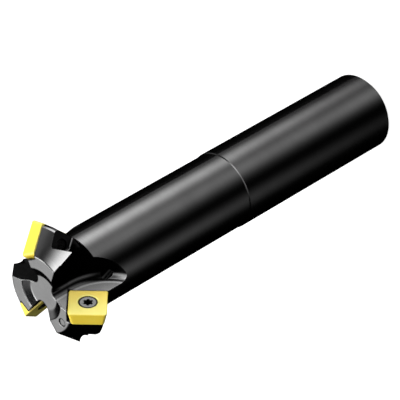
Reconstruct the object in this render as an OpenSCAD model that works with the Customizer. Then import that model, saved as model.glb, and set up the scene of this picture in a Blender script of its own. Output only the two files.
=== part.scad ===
// Three-tooth 45 degree chamfer milling cutter with square indexable inserts.
// The axis is Z: the shank end stands on z = 0 and the cutting tip points up.
// The first tooth lies on +X and the cutter turns anticlockwise seen from the tip.

/* [Shank and neck] */
// Diameter of the ground cylindrical shank
shank_d = 20; // [19:0.1:21]
// Length of the ground shank
shank_length = 51; // [45:0.5:56]
// Chamfer on the shank end
shank_chamfer = 0.9; // [0.3:0.1:1.5]
// How much the neck is smaller than the shank, on the radius
neck_step = 0.2; // [0.2:0.05:0.5]

/* [Head] */
// Radius of the turned head at its widest
head_r = 15.05; // [14.5:0.05:15.6]
// Height of the front ring face above the shank end
front_face = 110.3; // [109.8:0.1:110.8]
// Outer radius of the front ring face
ring_outer_r = 9.95; // [9.55:0.1:10.35]
// Inner radius of the front ring face, where the dish starts
ring_inner_r = 6.6; // [6:0.1:7.2]
// Radius of the flat centre of the dish
dish_flat_r = 4.45; // [3.9:0.05:5]
// Depth of the flat centre below the ring face
dish_depth = 0.95; // [0.5:0.05:1.5]
// Width of the small edge breaks on the front
edge_break = 0.15; // [0.05:0.05:0.25]
// Width of the edge break between the front cone and the widest part of the head
land_break = 0.25; // [0.1:0.05:0.4]

/* [Teeth] */
// Number of teeth
teeth = 3; // [3:1:3]
// Distance of the insert centre inside the widest radius of the head
insert_inset = 5; // [4.7:0.05:5.3]
// How far the cutting edge stands out over the front cone
edge_stand = 0.74; // [0.5:0.02:1]
// How far the rear edge of the insert stands out over the rear cone
rear_stand = 0.53; // [0.3:0.01:0.8]
// Lead angle of the cutting edge
lead_angle = 45; // [43:0.5:47]
// How far the rake face stands over the flute wall
rake_rise = 0.3; // [0.1:0.05:0.5]

/* [Insert] */
// Inscribed circle of the square insert
insert_ic = 9.05; // [8.8:0.025:9.525]
// Thickness of the insert
insert_t = 3.3; // [3:0.02:3.6]
// Clearance angle of the insert flanks
insert_clearance = 11; // [7:1:15]
// Corner radius of the insert
insert_corner_r = 0.8; // [0.8:0.05:1]
// Width of the bevel round the rake face
insert_bevel = 0.12; // [0.05:0.01:0.2]
// Diameter of the through hole in the insert
insert_bore_d = 3.7; // [3.6:0.05:3.9]
// Offset of the through hole towards the rear seat wall
bore_offset = 0.3; // [0:0.02:0.4]
// Width of the bright edge break round the mouth of the hole
bore_edge = 0.12; // [0.06:0.02:0.2]

/* [Insert screw] */
// Nominal thread diameter of the insert screw
screw_d = 3.5; // [3.2:0.05:3.5]
// Diameter of the core hole that the thread is cut in
core_hole_d = 2.9; // [2.8:0.05:3]
// Length of the turned-down screw point in the bare core hole
screw_nose = 1.3; // [0.8:0.1:1.8]
// Diameter of the countersunk screw head
screw_head_d = 4.3; // [4.1:0.05:4.8]
// Height of the plain rim of the screw head
screw_rim = 0.35; // [0.2:0.05:0.5]
// How far the head sits below the rake face
screw_sink = 0.1; // [0.04:0.02:0.3]
// Included angle of the countersunk seat
screw_seat_angle = 60; // [50:1:75]
// Width over the lobes of the star socket
socket_d = 2.5; // [2.2:0.05:2.7]
// Depth of the star socket
socket_depth = 1.3; // [0.8:0.1:1.8]

/* [Flutes] */
// Radius of the path that the flute cutter cuts
flute_r = 14.6; // [13.5:0.1:15.5]
// Distance from the cutter axis to the flute floor at the rake wall
flute_core = 2.05; // [1.9:0.05:2.3]
// How far below the insert centre the flute starts to run out towards the neck
flute_drop = 0.55; // [0:0.05:1]
// Lean of the flute floor from the square to the rake wall
flute_lean = 16.5; // [14:0.5:19]
// Radius of the fillet between rake wall and flute floor
flute_fillet = 1.8; // [1.4:0.1:2.2]

/* [Rear spot of each tooth] */
// Distance from the rake wall plane to the flat of the spot
spot_depth = 7; // [6.6:0.1:7.4]
// Distance from the screw axis to the wall of the spot that faces the front
spot_rear_wall = 2.3; // [2.1:0.05:2.6]
// Distance from the screw axis to the wall of the spot that faces the shank
spot_front_wall = 1.9; // [1.8:0.05:2.2]
// Radius that the milling cutter leaves in the upright corner of the spot
spot_corner_r = 2.2; // [1.4:0.1:2.4]
// Radius of the fillet round the flat of the spot
spot_fillet = 0.6; // [0.3:0.1:1]

/* [Coolant] */
// Diameter of the coolant bore from the shank end
coolant_bore_d = 5; // [4:0.1:6]
// Diameter of the coolant branch to each flute
coolant_branch_d = 2.6; // [2:0.1:2.8]
// Angle between the branch and the cutter axis
coolant_branch_angle = 21.5; // [20:0.5:23]
// Angle of the branch ahead of its tooth, seen along the axis
coolant_branch_lead = 14; // [11:1:17]
// Distance of the place where the branches meet below the insert centres
coolant_drop = 25.75; // [25:0.25:27]

/* [First tooth mark] */
// Radius of the shallow dot on the ring of the first tooth
mark_r = 1; // [0.6:0.1:1.2]
// Depth of the dot
mark_depth = 0.3; // [0.1:0.05:0.4]
// Angle of the dot behind the first tooth
mark_angle = 31; // [27:1:36]

/* [Fits] */
// Gap between the insert flanks and the seat walls
seat_gap = 0.03; // [0.02:0.01:0.06]
// Gap between the insert flanks and the relieved upper walls
relief_gap = 0.2; // [0.1:0.05:0.3]
// Depth of the relieved upper part of the seat walls
relief_depth = 1.1; // [0.6:0.1:1.6]
// Length of the relieved front end of the seat wall
relief_front = 3.6; // [2.5:0.1:4.5]
// Radius of the relief bore in the inner corner of the seat
corner_relief_r = 1.05; // [0.8:0.05:1.2]
// How far the relief bore reaches past the rear side of the insert
relief_rear = 0.4; // [0.3:0.05:0.6]
// How far the relief bore reaches past the inner side of the insert
relief_inner = 0.08; // [0.04:0.02:0.15]
// Gap round the screw thread in its hole, on the radius
thread_gap = 0.04; // [0.02:0.01:0.08]
// Gap round the screw point in the core hole, on the radius
nose_gap = 0.1; // [0.05:0.01:0.15]
// Gap between the screw head and its seat
head_gap = 0.03; // [0.02:0.01:0.06]
// Gap round the rim of the screw head
rim_gap = 0.1; // [0.06:0.01:0.14]
// How far the screw point stays inside the spot flat
screw_point_gap = 0.3; // [0.1:0.1:0.6]
// Gap between the end of the screw thread and the start of the core hole
thread_relief = 0.15; // [0.1:0.05:0.3]

/* [Hidden] */
$fn = 72;

steel_black = [0.13, 0.13, 0.14];
insert_gold = [0.93, 0.80, 0.30];
screw_grey = [0.55, 0.55, 0.56];

shank_r = shank_d / 2;
neck_r = shank_r - neck_step;
half = insert_ic / 2;
// Place of the insert centre, from the two turned surfaces that it stands out of
edge_line = ring_outer_r * cos(lead_angle) + front_face * sin(lead_angle) + edge_stand;
insert_x = head_r - insert_inset;
insert_z = (edge_line - half - insert_x * cos(lead_angle)) / sin(lead_angle);
rear_line = insert_x * sin(lead_angle) - insert_z * cos(lead_angle) + half - rear_stand;
// Heights of the two cones of the head, both parallel to the insert edges
neck_top = (neck_r * sin(lead_angle) - rear_line) / cos(lead_angle);
rear_cone_top = (head_r * sin(lead_angle) - rear_line) / cos(lead_angle);
front_cone_base = front_face - (head_r - ring_outer_r) / tan(lead_angle);
dish_floor = front_face - dish_depth;
flute_axis_x = flute_core + flute_r;
flute_runout = insert_z - flute_drop;
coolant_branch_z = insert_z - coolant_drop;
mark_x = (ring_inner_r + ring_outer_r) / 2;
// How far each cut runs on past the face that it opens
over = 2;
// Start angle of the turned blank, clear of every cut
blank_turn = 100;
seat_half_angle = screw_seat_angle / 2;
head_r_top = screw_head_d / 2;
thread_r = screw_d / 2;
bore_r = insert_bore_d / 2;
// Depth of the cone of the screw head and of the countersink
head_cone = (head_r_top - thread_r) / tan(seat_half_angle);
sink_r = head_r_top + head_gap;
sink_cone = (sink_r - bore_r) / tan(seat_half_angle);
mouth_r = head_r_top + rim_gap;
screw_length = rake_rise - screw_sink + spot_depth - screw_point_gap;
nose_r = core_hole_d / 2 - nose_gap;
// Depth below the rake face at which the thread ends and the bare core hole starts
thread_end = rake_rise + spot_depth - screw_point_gap - screw_nose + thread_relief;

// Places its children at one tooth
module at_tooth(n) {
    rotate([0, 0, 360 * n / teeth]) children();
}

// Frame of an insert: x and y along its sides, z out of the rake face.
// The first side faces the front and is the cutting edge.
module insert_frame() {
    translate([insert_x, rake_rise, insert_z])
        rotate([-90, 0, 0])
            rotate([0, 0, -lead_angle])
                children();
}

// Frame of the insert screw, on the axis of the hole in the insert
module screw_frame() {
    insert_frame() translate([-bore_offset, 0, 0]) children();
}

// Turned blank of the cutter
module turned_blank() {
    b = edge_break;
    rotate([0, 0, blank_turn]) rotate_extrude($fn = 96)
        polygon([
            [0, 0],
            [shank_r - shank_chamfer, 0],
            [shank_r, shank_chamfer],
            [shank_r, shank_length],
            [neck_r, shank_length + neck_step],
            [neck_r, neck_top],
            [head_r, rear_cone_top],
            [head_r, front_cone_base - land_break],
            [head_r - land_break * sin(lead_angle), front_cone_base + land_break * cos(lead_angle)],
            [ring_outer_r + b * tan(lead_angle), front_face - b],
            [ring_outer_r - 0.6 * b, front_face],
            [ring_inner_r, front_face],
            [ring_inner_r - b, front_face - b],
            [dish_flat_r + b, dish_floor + 0.5 * b],
            [dish_flat_r - b, dish_floor],
            [0, dish_floor]
        ]);
}

// Section of the flute cutter: radius along x, height over the rake wall along y
module flute_section(height) {
    a = flute_lean;
    f = flute_fillet;
    t = f / tan((90 - a) / 2);
    steps = 12;
    arc = [for (i = [0:steps]) let (w = -90 + (90 + a) * i / steps)
           [flute_r - t + f * cos(w), f + f * sin(w)]];
    polygon(concat([[0, 0]], arc, [[flute_r - height * tan(a), height], [0, height]]));
}

// One flute: a straight run along the head and a round run-out in the neck
module flute() {
    height = 1.3 * head_r;
    translate([flute_axis_x, 0, flute_runout]) {
        rotate([-90, 0, 0])
            rotate_extrude($fn = 120) flute_section(height);
        mirror([1, 0, 0])
            linear_extrude(height = front_face - flute_runout + over)
                flute_section(height);
    }
}

// Insert-shaped block: four leaning flanks with round edges, grown by g sideways
module insert_block(g, bevel) {
    h = half + g;
    lean = insert_clearance;
    w = 3 * half;
    difference() {
        translate([-w, -w, -insert_t]) cube([2 * w, 2 * w, insert_t]);
        for (i = [0:3]) rotate([0, 0, 90 * i]) {
            translate([h, 0, 0]) rotate([0, lean, 0])
                translate([0, -2 * w, -2 * w]) cube([2 * w, 4 * w, 4 * w]);
            if (bevel > 0)
                translate([h - bevel, 0, 0]) rotate([0, -45, 0])
                    translate([0, -2 * w, -w]) cube([w, 4 * w, 2 * w]);
            edge_round(h, w);
        }
    }
}

// What the grinding wheel takes off the leaning edge between two flanks
module edge_round(h, w) {
    r = insert_corner_r;
    lean = insert_clearance;
    tilt = atan(sqrt(2) * tan(lean));
    side = acos(cos(lean) * cos(tilt) * cos(45) + sin(lean) * sin(tilt));
    c = h - r / cos(lean);
    translate([c, c, 0]) rotate([0, 0, 45]) rotate([0, tilt, 0])
        translate([0, 0, -2 * insert_t]) linear_extrude(height = 3 * insert_t)
            difference() {
                polygon([[0, 0], [w * cos(side), -w * sin(side)], [2 * w, 0],
                         [w * cos(side), w * sin(side)]]);
                circle(r = r, $fn = 48);
            }
}

// Space that the seat needs in the body
module seat_pocket() {
    h = half + relief_gap;
    insert_frame() {
        insert_block(seat_gap, 0);
        // open space over the insert
        translate([-half, -half, -0.01]) cube([insert_ic, insert_ic, over]);
        // relieved upper walls
        translate([-h, -h, -relief_depth]) cube([2 * h, 2 * h, relief_depth + over]);
        // relieved front end of the front inner wall
        translate([half - relief_front, -h, -insert_t])
            cube([relief_front + over, h, insert_t + over]);
        // relief bore in the inner corner
        translate([-half + corner_relief_r - relief_rear,
                   -half + corner_relief_r - relief_inner, -insert_t])
            cylinder(r = corner_relief_r, h = insert_t + over, $fn = 48);
    }
}

// Threaded hole for the insert screw, drawn at its thread diameter, with the
// bare core hole behind it
module screw_hole() {
    depth = rake_rise + spot_depth + over;
    screw_frame() {
        translate([0, 0, -thread_end])
            cylinder(r = thread_r + thread_gap, h = thread_end, $fn = 48);
        translate([0, 0, -depth])
            cylinder(d = core_hole_d, h = depth, $fn = 48);
    }
}

// Section of one straight run of the spot cutter, with its rounded lower edge
module spot_run(length) {
    r = spot_fillet;
    rotate([90, 0, 90]) linear_extrude(height = length) difference() {
        square(length);
        difference() {
            translate([-1, -1]) square(r + 1);
            translate([r, r]) circle(r = r, $fn = 48);
        }
    }
}

// Square-cornered spot behind the tooth, where the screw hole comes out: two
// straight runs of a milling cutter and the round corner where they meet
module rear_spot() {
    reach = 1.5 * head_r;
    c = spot_corner_r;
    f = spot_fillet;
    screw_frame()
        translate([-spot_rear_wall, -spot_front_wall, -rake_rise - spot_depth])
        mirror([0, 0, 1]) {
            translate([c, 0, 0]) spot_run(reach);
            mirror([1, -1, 0]) translate([c, 0, 0]) spot_run(reach);
            translate([c, c, 0]) rotate_extrude($fn = 60) difference() {
                square([c, reach]);
                difference() {
                    translate([c - f, -1]) square(f + 1);
                    translate([c - f, f]) circle(r = f, $fn = 48);
                }
            }
        }
}

// Coolant branch from the central bore into one flute
module coolant_branch() {
    rotate([0, 0, coolant_branch_lead])
        translate([0, 0, coolant_branch_z])
            rotate([0, coolant_branch_angle, 0])
                cylinder(d = coolant_branch_d, h = 24, $fn = 48);
}

// Central coolant bore, drilled up to the branches, with its drill point
module coolant_bore() {
    r = coolant_bore_d / 2;
    translate([0, 0, -1]) cylinder(r = r, h = coolant_branch_z + 1, $fn = 48);
    translate([0, 0, coolant_branch_z]) cylinder(r1 = r, r2 = 0, h = r / tan(59), $fn = 48);
}

module cutter_body() {
    color(steel_black)
    difference() {
        turned_blank();
        for (n = [0:teeth - 1]) at_tooth(n) {
            flute();
            rear_spot();
            seat_pocket();
            screw_hole();
            coolant_branch();
        }
        coolant_bore();
        rotate([0, 0, -mark_angle]) translate([mark_x, 0, front_face - mark_depth])
            cylinder(r = mark_r, h = mark_depth + 1, $fn = 48);
    }
}

// Stepped hole of the insert: edge break, counterbore, cone seat and through hole
module insert_bore() {
    seat = -screw_sink - screw_rim;
    translate([0, 0, -insert_t - over])
        cylinder(r = bore_r, h = insert_t + 2 * over, $fn = 48);
    translate([0, 0, seat - sink_cone])
        cylinder(r1 = bore_r, r2 = sink_r, h = sink_cone, $fn = 48);
    translate([0, 0, seat])
        cylinder(r = mouth_r, h = insert_t, $fn = 48);
    translate([0, 0, -0.5 * bore_edge])
        cylinder(r1 = mouth_r, r2 = mouth_r + 2 * bore_edge, h = bore_edge, $fn = 48);
}

module insert(n) {
    color(insert_gold)
    at_tooth(n) insert_frame()
        difference() {
            insert_block(0, insert_bevel);
            translate([-bore_offset, 0, 0]) insert_bore();
        }
}

// Six-lobed star outline
module star() {
    lobe = 0.13 * socket_d;
    ring = socket_d / 2 - lobe;
    difference() {
        union() {
            circle(r = ring + 0.25 * lobe, $fn = 36);
            for (i = [0:5]) rotate(60 * i) translate([ring, 0]) circle(r = lobe, $fn = 24);
        }
        for (i = [0:5]) rotate(60 * i + 30)
            translate([ring + 0.75 * lobe, 0]) circle(r = 0.8 * lobe, $fn = 24);
    }
}

module insert_screw(n) {
    color(screw_grey)
    at_tooth(n) screw_frame() translate([0, 0, -screw_sink])
        difference() {
            rotate_extrude($fn = 48)
                polygon([
                    [0, 0],
                    [head_r_top - 0.12, 0],
                    [head_r_top, -0.12],
                    [head_r_top, -screw_rim],
                    [thread_r, -screw_rim - head_cone],
                    [thread_r, -screw_length + screw_nose],
                    [nose_r, -screw_length + screw_nose],
                    [nose_r, -screw_length + 0.3],
                    [nose_r - 0.3, -screw_length],
                    [0, -screw_length]
                ]);
            translate([0, 0, -socket_depth]) linear_extrude(height = socket_depth + 1) star();
        }
}

module insert_1() { insert(0); }
module insert_2() { insert(1); }
module insert_3() { insert(2); }
module insert_screw_1() { insert_screw(0); }
module insert_screw_2() { insert_screw(1); }
module insert_screw_3() { insert_screw(2); }

cutter_body();
insert_1();
insert_2();
insert_3();
insert_screw_1();
insert_screw_2();
insert_screw_3();
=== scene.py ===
import math

import bpy
from mathutils import Matrix, Vector

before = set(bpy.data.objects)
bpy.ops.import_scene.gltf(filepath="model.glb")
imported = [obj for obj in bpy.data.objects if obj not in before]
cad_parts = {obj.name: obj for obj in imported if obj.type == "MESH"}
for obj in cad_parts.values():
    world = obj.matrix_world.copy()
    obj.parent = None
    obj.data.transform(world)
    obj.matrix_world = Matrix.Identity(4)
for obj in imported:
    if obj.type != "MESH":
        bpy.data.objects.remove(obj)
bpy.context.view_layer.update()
scene = bpy.context.scene
scene.view_settings.view_transform = "Standard"
scene.view_settings.look = "None"


# ---------------------------------------------------------------- camera
# The cutter is seen from its tip, a little from above, with the axis running
# from the lower left of the frame to the shank end at the upper right.
camera_place = (0.35407, 0.37216, 0.42508)
lens_mm = 235.0
sensor_mm = 36.0
view_right = Vector((0.7082, 0.0216, -0.7057)).normalized()
view_up = Vector((-0.4281, 0.8080, -0.4049)).normalized()
view_back = view_right.cross(view_up).normalized()
view_up = view_back.cross(view_right).normalized()
camera_data = bpy.data.cameras.new("camera")
camera_data.sensor_width = sensor_mm
camera_data.lens = lens_mm
camera_data.clip_start = 0.05
camera_data.clip_end = 100.0
camera = bpy.data.objects.new("camera", camera_data)
turn = Matrix((view_right, view_up, view_back)).transposed().to_4x4()
camera.matrix_world = Matrix.Translation(camera_place) @ turn
scene.collection.objects.link(camera)
scene.camera = camera


# ---------------------------------------------------------------- studio light
# Soft studio light: tall soft boxes stand round the cutter, some hang over it
# and small ones lift single edges. Each is a soft patch of the surroundings,
# which lights the cutter and is mirrored by its black steel.
degrees_in_radian = 180 / math.pi
world = bpy.data.worlds.new("studio")
scene.world = world
world.use_nodes = True
sky = world.node_tree
sky.nodes.clear()


def sky_node(kind, **values):
    node = sky.nodes.new(kind)
    for key, value in values.items():
        setattr(node, key, value)
    return node


def sky_math(operation, *values):
    node = sky_node("ShaderNodeMath", operation=operation)
    for socket, value in zip(node.inputs, values):
        if isinstance(value, (int, float)):
            socket.default_value = value
        else:
            sky.links.new(value, socket)
    return node.outputs[0]


def soft_step(value, low, high):
    node = sky_node("ShaderNodeMapRange", interpolation_type="SMOOTHSTEP")
    sky.links.new(value, node.inputs["Value"])
    node.inputs["From Min"].default_value = low
    node.inputs["From Max"].default_value = high
    return node.outputs["Result"]


ray = sky_node("ShaderNodeTexCoord").outputs["Generated"]
ray_parts = sky_node("ShaderNodeSeparateXYZ")
sky.links.new(ray, ray_parts.inputs[0])
height = sky_math("MULTIPLY", sky_math("ARCSINE", ray_parts.outputs[2]), degrees_in_radian)

# For each box, in degrees: the direction round the cutter that it stands in, how
# far it spreads to each side, the two heights between which its bottom edge fades
# in, and the two between which its top edge fades out. The strength comes last.
soft_boxes = [
    (119.5, 19.0, -42.3, -31.2, -20.0, -4.0, 4.95),
    (125.5, 15.0, -20.0, -4.0, 5.0, 22.0, 7.0),
    (73.0, 21.3, -70.0, -55.0, -20.0, -4.0, 1.08),
    (344.5, 18.5, -42.0, -27.0, 0.0, 25.0, 0.70),
    (226.0, 26.0, 17.0, 30.0, 45.0, 66.0, 3.30),
    (88.0, 27.5, 36.0, 50.0, 80.0, 92.0, 9.0),
    (160.0, 26.0, 0.0, 12.0, 25.0, 42.0, 0.81),
    (90.0, 26.0, 12.0, 24.0, 40.0, 52.0, 3.0),
    (15.0, 55.0, 42.0, 62.0, 88.0, 98.0, 3.6),
    (218.0, 22.0, 46.0, 53.0, 60.0, 66.0, 11.0),
    (188.0, 15.0, 41.0, 46.0, 57.0, 63.0, 12.0),
    (146.0, 10.0, -13.0, -5.0, 6.0, 13.0, 4.0),
]
total = None
for direction, spread, dark_under, lit_from, lit_up_to, dark_over, strength in soft_boxes:
    spin = sky_node("ShaderNodeVectorRotate", rotation_type="Z_AXIS")
    sky.links.new(ray, spin.inputs["Vector"])
    spin.inputs["Angle"].default_value = -math.radians(direction)
    parts = sky_node("ShaderNodeSeparateXYZ")
    sky.links.new(spin.outputs[0], parts.inputs[0])
    away = sky_math("ARCTAN2", parts.outputs[1], parts.outputs[0])
    away = sky_math("MULTIPLY", away, degrees_in_radian / spread)
    glow = sky_math("EXPONENT", sky_math("MULTIPLY", sky_math("MULTIPLY", away, away), -1.0))
    glow = sky_math("MULTIPLY", glow, soft_step(height, dark_under, lit_from))
    fade = sky_math("SUBTRACT", 1.0, soft_step(height, lit_up_to, dark_over))
    glow = sky_math("MULTIPLY", sky_math("MULTIPLY", glow, fade), strength)
    total = glow if total is None else sky_math("ADD", total, glow)
shine = sky_node("ShaderNodeBackground")
sky.links.new(total, shine.inputs["Strength"])
sky_out = sky_node("ShaderNodeOutputWorld")
sky.links.new(shine.outputs[0], sky_out.inputs["Surface"])


# ---------------------------------------------------------------- floor
# A plain white bench under the shank end, with a plain white backdrop far
# behind it. Both are seen only by the camera, so the steel mirrors the lights.
bench_radius = 8.0
bench_glow = 0.92
backdrop_radius = 7.9
backdrop_glow = 0.95


def pale_paint(name, glow):
    paint = bpy.data.materials.new(name)
    paint.use_nodes = True
    shader = paint.node_tree.nodes["Principled BSDF"]
    shader.inputs["Base Color"].default_value = (0.30, 0.30, 0.30, 1)
    shader.inputs["Roughness"].default_value = 0.9
    shader.inputs["Specular IOR Level"].default_value = 0.0
    shader.inputs["Emission Color"].default_value = (1, 1, 1, 1)
    shader.inputs["Emission Strength"].default_value = glow
    return paint


bpy.ops.object.select_all(action="DESELECT")
bpy.ops.mesh.primitive_circle_add(vertices=96, radius=bench_radius, fill_type="NGON",
                                  location=(0, 0, 0))
bench = bpy.context.object
bench.name = "bench"
bench.data.materials.append(pale_paint("bench_white", bench_glow))
bpy.ops.object.select_all(action="DESELECT")
bpy.ops.mesh.primitive_uv_sphere_add(segments=48, ring_count=24, radius=backdrop_radius,
                                     location=(0, 0, 0))
backdrop = bpy.context.object
backdrop.name = "backdrop"
backdrop.data.materials.append(pale_paint("backdrop_white", backdrop_glow))
for piece in (bench, backdrop):
    piece.visible_glossy = False
    piece.visible_diffuse = False
    piece.visible_transmission = False
    piece.visible_shadow = False


# ---------------------------------------------------------------- cutter body
# One piece of tool steel: turned, milled, hardened and ground, then blackened
# The black is thin and glossy, worn paler along the edges, with faint turning rings round
# the axis. Painted shade darkens its corners and hollows, the walls of the milled spots,
# the lines of the seats and the step to the neck.
steel = bpy.data.materials.new("black_oxide_steel")
steel.use_nodes = True
tree = steel.node_tree
shader = tree.nodes["Principled BSDF"]


def part_node(kind, **values):
    node = tree.nodes.new(kind)
    for key, value in values.items():
        setattr(node, key, value)
    return node


def part_math(operation, *values):
    node = part_node("ShaderNodeMath", operation=operation)
    for socket, value in zip(node.inputs, values):
        if isinstance(value, (int, float)):
            socket.default_value = value
        else:
            tree.links.new(value, socket)
    return node.outputs[0]


def part_range(value, between, becomes):
    # Between these two values, the result goes softly from the first to the second.
    node = part_node("ShaderNodeMapRange", interpolation_type="SMOOTHSTEP")
    tree.links.new(value, node.inputs["Value"])
    for name, number in zip(("From Min", "From Max", "To Min", "To Max"), between + becomes):
        node.inputs[name].default_value = number
    return node.outputs["Result"]


def part_rise(value, between):
    return part_range(value, between, (0.0, 1.0))


def part_fall(value, between):
    return part_range(value, between, (1.0, 0.0))


def part_painted_shade(shade, where, left):
    # Painted shade: keeps only this share of the shade in the places where the mask is 1.
    return part_math("MULTIPLY", shade, part_range(where, (0.0, 1.0), (1.0, left)))


def part_noise(vector, scale, detail):
    node = part_node("ShaderNodeTexNoise")
    tree.links.new(vector, node.inputs["Vector"])
    node.inputs["Scale"].default_value = scale
    node.inputs["Detail"].default_value = detail
    return node.outputs["Fac"]


def part_grey(value):
    node = part_node("ShaderNodeCombineColor")
    for socket in node.inputs[:3]:
        tree.links.new(value, socket)
    return node.outputs["Color"]


def part_mix(data_type, factor, first, second, blend_type="MIX"):
    node = part_node("ShaderNodeMix", data_type=data_type, blend_type=blend_type)
    for name, value in (("Factor", factor), ("A", first), ("B", second)):
        if isinstance(value, (float, tuple)):
            node.inputs[name].default_value = value
        else:
            tree.links.new(value, node.inputs[name])
    return node.outputs["Result"]


def part_corner(reach):
    node = part_node("ShaderNodeAmbientOcclusion", samples=12)
    node.inputs["Distance"].default_value = reach
    return node.outputs["AO"]


def part_flat():
    return part_node("ShaderNodeNewGeometry").outputs["Normal"]


def part_edge(radius):
    # Gives how sharply a place bends within this radius, and its rounded normal.
    round_normal = part_node("ShaderNodeBevel", samples=8)
    round_normal.inputs["Radius"].default_value = radius
    dot = part_node("ShaderNodeVectorMath", operation="DOT_PRODUCT")
    tree.links.new(round_normal.outputs[0], dot.inputs[0])
    tree.links.new(part_flat(), dot.inputs[1])
    return part_math("SUBTRACT", 1.0, dot.outputs["Value"]), round_normal.outputs[0]


# Places on a tooth, in metres: the middle of its insert along the two slants, and
# how far back from there the screw stands. A third of a turn belongs to each tooth.
insert_to_front = 0.08125
insert_to_side = -0.06703
screw_back = 0.0003
third_of_turn = (math.radians(30), math.radians(-90))


def part_tooth():
    # Turns the three teeth onto the first one. Gives how far a place lies from the
    # middle of its insert, on the slant towards the front and on the one towards
    # the shank, and how far over the flute wall that the insert stands in.
    parts = part_node("ShaderNodeSeparateXYZ")
    tree.links.new(part_node("ShaderNodeTexCoord").outputs["Object"], parts.inputs[0])
    x, y, z = parts.outputs
    away = part_math("SQRT", part_math("ADD", part_math("MULTIPLY", x, x),
                                       part_math("MULTIPLY", y, y)))
    turned = part_math("WRAP", part_math("ARCTAN2", y, x), *third_of_turn)
    outward = part_math("MULTIPLY", away, part_math("COSINE", turned))
    over = part_math("MULTIPLY", away, part_math("SINE", turned))
    to_front = part_math("MULTIPLY", part_math("ADD", outward, z), math.sqrt(0.5))
    to_side = part_math("MULTIPLY", part_math("SUBTRACT", outward, z), math.sqrt(0.5))
    return (part_math("SUBTRACT", to_front, insert_to_front),
            part_math("SUBTRACT", to_side, insert_to_side), over)


def part_from_screw(to_front, to_side):
    to_front = part_math("ADD", to_front, screw_back)
    return part_math("SQRT", part_math("ADD", part_math("MULTIPLY", to_front, to_front),
                                       part_math("MULTIPLY", to_side, to_side)))


# The black itself, a little cloudy, with its rings and its worn edges. Here and
# below, lengths are in metres, and a pair says where a change begins and ends.
oxide_grey = (0.131, 0.147)
ring_grey = 0.0035
worn_grey = 0.06
edge_radius = 0.00038
edge_worn = (0.015, 0.11)
most_noise = (0.3, 0.7)
place = part_node("ShaderNodeTexCoord").outputs["Object"]
along = part_node("ShaderNodeSeparateXYZ")
tree.links.new(place, along.inputs[0])
from_end = along.outputs["Z"]
rings_at = part_node("ShaderNodeCombineXYZ")
tree.links.new(from_end, rings_at.inputs["Z"])
rings = part_noise(rings_at.outputs[0], scale=2500.0, detail=2.0)
cloud = part_noise(place, scale=160.0, detail=3.0)
grain = part_noise(place, scale=5000.0, detail=1.0)
edge, soft_normal = part_edge(edge_radius)
worn = part_rise(edge, edge_worn)
shade = part_range(cloud, most_noise, oxide_grey)
shade = part_math("ADD", shade, part_range(rings, most_noise, (-ring_grey, ring_grey)))
shade = part_math("ADD", shade, part_math("MULTIPLY", worn, worn_grey))

# painted shade in the narrow corners, and less of it in the wide hollows
narrow_reach = 0.0024
wide_reach = 0.0150
narrow_painted_shade = part_range(part_corner(narrow_reach), (0.10, 0.85), (0.04, 1.0))
shade = part_math("MULTIPLY", shade, narrow_painted_shade)
wide_painted_shade = part_range(part_corner(wide_reach), (0.35, 0.85), (0.45, 1.0))
shade = part_math("MULTIPLY", shade, wide_painted_shade)

# painted shade on the walls of the milled spot behind each tooth
spot_to_front = (-0.00275, -0.00262)
spot_to_side = (-0.00205, -0.00192)
spot_deep = (-0.0076, -0.0070)
to_front, to_side, over = part_tooth()
spot_painted_shade = part_math("MULTIPLY", part_rise(to_front, spot_to_front),
                 part_rise(to_side, spot_to_side))
spot_painted_shade = part_math("MULTIPLY", spot_painted_shade, part_fall(over, spot_deep))
shade = part_painted_shade(shade, spot_painted_shade, left=0.20)

# a painted shadow along the line of the seat round each insert
seat_rim = (0.00475, 0.0051)
seat_deep = (-0.0020, -0.0015)
rim = part_math("MAXIMUM", part_math("ABSOLUTE", to_front), part_math("ABSOLUTE", to_side))
seat_painted_shadow = part_math("MULTIPLY", part_fall(rim, seat_rim), part_rise(over, seat_deep))
shade = part_painted_shade(shade, seat_painted_shadow, left=0.12)

# painted shade on the small step from the shank to the neck, dimming its highlight
step_begins = (0.05092, 0.05099)
step_ends = (0.05121, 0.05128)
step_painted_shade = part_math("MULTIPLY", part_rise(from_end, step_begins), part_fall(from_end, step_ends))
shade = part_painted_shade(shade, step_painted_shade, left=0.38)
tree.links.new(part_grey(shade), shader.inputs["Base Color"])

# the gloss, a little rougher where the black is worn
oxide_rough = (0.145, 0.175)
worn_rough = 0.08
rough = part_range(grain, most_noise, oxide_rough)
rough = part_math("ADD", rough, part_math("MULTIPLY", worn, worn_rough))
tree.links.new(rough, shader.inputs["Roughness"])
shader.inputs["Metallic"].default_value = 1.0
shader.inputs["Specular Tint"].default_value = (0.25, 0.25, 0.25, 1)

# the relief of the rings, and the broken edges, which only the turned front shows
front_begins = (0.1086, 0.1091)
bump = part_node("ShaderNodeBump")
bump.inputs["Strength"].default_value = 0.05
bump.inputs["Distance"].default_value = 0.00002
tree.links.new(rings, bump.inputs["Height"])
broken = part_mix("VECTOR", part_rise(from_end, front_begins), part_flat(), soft_normal)
tree.links.new(broken, bump.inputs["Normal"])
tree.links.new(bump.outputs[0], shader.inputs["Normal"])


def give_finish(name, finish):
    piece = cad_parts[name]
    piece.data.materials.clear()
    piece.data.materials.append(finish)
    return piece


# the steel mirrors the soft boxes alone, and neither the body nor the inserts
give_finish("cutter_body", steel).visible_glossy = False


# ---------------------------------------------------------------- inserts
# Three square inserts of sintered carbide, ground, honed along the edges and
# given a gold-coloured nitride coat in vacuum. Each is held by one screw.
gold = bpy.data.materials.new("gold_nitride_carbide")
gold.use_nodes = True
tree = gold.node_tree
shader = tree.nodes["Principled BSDF"]
place = part_node("ShaderNodeTexCoord").outputs["Object"]
to_front, to_side, _ = part_tooth()
from_screw = part_from_screw(to_front, to_side)
cloud = part_noise(place, scale=500.0, detail=3.0)
grain = part_noise(place, scale=9000.0, detail=1.0)
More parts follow.
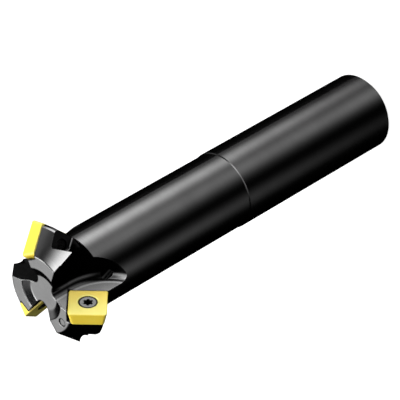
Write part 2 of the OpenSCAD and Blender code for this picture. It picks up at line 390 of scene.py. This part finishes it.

# painted highlights: the coat is paler along the honed edges and in a thin ring
# round the screw hole
honed_radius = 0.00022
honed_edge = (0.01, 0.12)
hole_ring_begins = (0.00226, 0.00234)
hole_ring_ends = (0.0024, 0.0029)
edge, soft_normal = part_edge(honed_radius)
honed_painted_highlight = part_rise(edge, honed_edge)
hole_painted_highlight = part_math("MULTIPLY", part_rise(from_screw, hole_ring_begins),
                 part_fall(from_screw, hole_ring_ends))

# and a painted highlight on the rake face, stronger towards the front; this face looks
# across the axis, so its normal has hardly any part along it
across_axis = (0.15, 0.40)
insert_half = 0.0045
facing = part_node("ShaderNodeSeparateXYZ")
tree.links.new(part_node("ShaderNodeTexCoord").outputs["Normal"], facing.inputs[0])
on_rake = part_fall(part_math("ABSOLUTE", facing.outputs["Z"]), across_axis)
towards_front = part_range(to_front, (-insert_half, insert_half), (0.0, 0.8))
painted_highlight_and_tone = part_math("MULTIPLY", on_rake, towards_front)
painted_highlight_and_tone = part_math("ADD", painted_highlight_and_tone, part_range(cloud, most_noise, (-0.05, 0.05)))
painted_highlight_and_tone = part_math("MAXIMUM", part_math("MAXIMUM", painted_highlight_and_tone, honed_painted_highlight), hole_painted_highlight)

# painted shade darkens the gold in the gaps to the seat and round the screw
deep_gold = (0.89, 0.67, 0.060, 1)
pale_gold = (0.93, 0.86, 0.215, 1)
gap_reach = 0.0006
tone = part_mix("RGBA", painted_highlight_and_tone, deep_gold, pale_gold)
hollow_painted_shade = part_range(part_corner(gap_reach), (0.3, 0.9), (0.02, 1.0))
tone = part_mix("RGBA", 1.0, tone, part_grey(hollow_painted_shade), "MULTIPLY")
tree.links.new(tone, shader.inputs["Base Color"])

# a satin gloss, which shows mostly as colour and little as a mirror
gold_rough = (0.34, 0.40)
tree.links.new(part_range(grain, most_noise, gold_rough), shader.inputs["Roughness"])
shader.inputs["Metallic"].default_value = 0.1
shader.inputs["Coat Weight"].default_value = 0.25
shader.inputs["Coat IOR"].default_value = 1.5
shader.inputs["Coat Roughness"].default_value = 0.3
tree.links.new(soft_normal, shader.inputs["Normal"])
for number in (1, 2, 3):
    give_finish("insert_%d" % number, gold).visible_glossy = False


# ---------------------------------------------------------------- insert screws
# Countersunk star-socket screws of alloy steel, M3.5, cold headed and tempered.
# The face of the head is bright from tumbling; painted shade darkens the rim, the
# socket and the far end down in the hole.
screw_grey = (0.125, 0.155)
screw_rough = (0.26, 0.34)
head_rim = (0.00182, 0.00196)
deep_in_hole = (-0.003, -0.001)
socket_reach = 0.0009
grey = bpy.data.materials.new("screw_steel")
grey.use_nodes = True
tree = grey.node_tree
shader = tree.nodes["Principled BSDF"]
place = part_node("ShaderNodeTexCoord").outputs["Object"]
to_front, to_side, over = part_tooth()
from_screw = part_from_screw(to_front, to_side)
cloud = part_noise(place, scale=1500.0, detail=3.0)
shade = part_range(cloud, most_noise, screw_grey)
# painted shade round the rim of the head, on the far end in the hole and in the socket
shade = part_math("MULTIPLY", shade, part_range(from_screw, head_rim, (1.0, 0.05)))
shade = part_math("MULTIPLY", shade, part_range(over, deep_in_hole, (0.3, 1.0)))
hollow_painted_shade = part_range(part_corner(socket_reach), (0.55, 0.95), (0.03, 1.0))
shade = part_math("MULTIPLY", shade, hollow_painted_shade)
tree.links.new(part_grey(shade), shader.inputs["Base Color"])
tree.links.new(part_range(cloud, most_noise, screw_rough), shader.inputs["Roughness"])
shader.inputs["Metallic"].default_value = 1.0
for number in (1, 2, 3):
    give_finish("insert_screw_%d" % number, grey)
